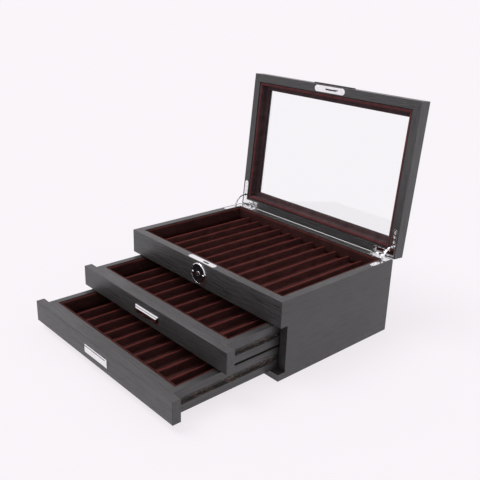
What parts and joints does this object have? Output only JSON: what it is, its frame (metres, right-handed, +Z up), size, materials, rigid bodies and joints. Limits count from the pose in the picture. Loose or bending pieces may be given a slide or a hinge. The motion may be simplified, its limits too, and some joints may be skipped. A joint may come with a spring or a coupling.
{
  "type": "pen collector chest",
  "caption": "Black wooden pen chest with a glazed hinged lid, a velvet-lined top tray and sliding drawers with pen slots, chrome pulls, lock and stayed hinges.",
  "frame": {"origin": "middle of the base board's underside", "axes": "+X to the right seen from the front, +Y from the drawer fronts to the hinged back, +Z up"},
  "size_m": [0.32, 0.4303, 0.3301],
  "materials": {
    "black_wood": "black-stained open-pore wood, satin",
    "runner_wood": "unfinished hardwood",
    "panel_wood": "dark-stained thin board",
    "velvet": "dark maroon velvet over board",
    "polished_metal": "polished plating",
    "lock_steel": "plain bright steel",
    "dark_enamel": "gloss near-black",
    "glass": "clear pane"
  },
  "bodies": {
    "case": {"base_board": "black_wood", "side_panel_left": "black_wood", "side_panel_right": "black_wood", "back_panel": "black_wood", "upper_front_panel": "black_wood", "tray_shelf": "panel_wood", "middle_runners": "runner_wood", "bottom_runners": "runner_wood", "top_tray_pad": "velvet", "top_tray_lining": "velvet", "top_tray_dividers": "velvet", "lock_case": "lock_steel", "lock_top_plate": "polished_metal", "lock_plate_screws": "polished_metal", "escutcheon_ring": "polished_metal", "escutcheon_dish": "dark_enamel", "escutcheon_screws": "polished_metal", "hinge_body_leaf_left": "polished_metal", "hinge_body_leaf_right": "polished_metal", "hinge_body_screws": "polished_metal", "hinge_pins": "lock_steel"},
    "lid": {"lid_front_rail": "black_wood", "lid_back_rail": "black_wood", "lid_side_rail_left": "black_wood", "lid_side_rail_right": "black_wood", "glass_pane": "glass", "lid_lining": "velvet", "thumb_lip": "black_wood", "strike_plate": "polished_metal", "strike_hook": "polished_metal", "strike_screws": "polished_metal", "hinge_lid_leaf_left": "polished_metal", "hinge_lid_leaf_right": "polished_metal", "hinge_lid_screws": "polished_metal"},
    "stay_left": {"stay_arm_left": "polished_metal"},
    "stay_right": {"stay_arm_right": "polished_metal"},
    "middle_drawer": {"middle_drawer_front": "black_wood", "middle_drawer_side_left": "black_wood", "middle_drawer_side_right": "black_wood", "middle_drawer_inner_wall": "black_wood", "middle_drawer_rear_wall": "black_wood", "middle_drawer_bottom_panel": "panel_wood", "middle_drawer_pad": "velvet", "middle_drawer_lining": "velvet", "middle_drawer_dividers": "velvet", "middle_drawer_pull": "polished_metal", "middle_drawer_pull_screws": "lock_steel"},
    "bottom_drawer": {"bottom_drawer_front": "black_wood", "bottom_drawer_side_left": "black_wood", "bottom_drawer_side_right": "black_wood", "bottom_drawer_inner_wall": "black_wood", "bottom_drawer_rear_wall": "black_wood", "bottom_drawer_bottom_panel": "panel_wood", "bottom_drawer_pad": "velvet", "bottom_drawer_lining": "velvet", "bottom_drawer_dividers": "velvet", "bottom_drawer_pull": "polished_metal", "bottom_drawer_pull_screws": "lock_steel"},
    "key": {"key_plug": "polished_metal"},
    "bolt": {"lock_bolt": "lock_steel"}
  },
  "joints": [
    {"name": "lid_hinge", "type": "hinge", "parent": "case", "child": "lid", "pos_m": [0, 0.1112, 0.1092], "axis": [1, 0, 0], "range_deg": [0, 95.5]},
    {"name": "left_stay_swing", "type": "hinge", "parent": "case", "child": "stay_left", "pos_m": [-0.154, 0.1112, 0.1092], "axis": [1, 0, 0], "range_deg": [0, 47.75]},
    {"name": "right_stay_swing", "type": "hinge", "parent": "case", "child": "stay_right", "pos_m": [0.154, 0.1112, 0.1092], "axis": [1, 0, 0], "range_deg": [0, 47.75]},
    {"name": "middle_drawer_slide", "type": "slide", "parent": "case", "child": "middle_drawer", "axis": [0, -1, 0], "range_m": [-0.086, 0.084]},
    {"name": "bottom_drawer_slide", "type": "slide", "parent": "case", "child": "bottom_drawer", "axis": [0, -1, 0], "range_m": [-0.164, 0.006]},
    {"name": "key_turn", "type": "hinge", "parent": "case", "child": "key", "pos_m": [0, -0.11, 0.0937], "axis": [0, 1, 0], "range_deg": [0, 90]},
    {"name": "lock_bolt_slide", "type": "slide", "parent": "case", "child": "bolt", "axis": [1, 0, 0], "range_m": [0, 0.008]}
  ],
  "couplings": [
    {"joint": "left_stay_swing", "follows": "lid_hinge", "ratio": 0.5},
    {"joint": "right_stay_swing", "follows": "lid_hinge", "ratio": 0.5},
    {"joint": "key_turn", "follows": "lock_bolt_slide", "rad_per_m": 196.35}
  ]
}
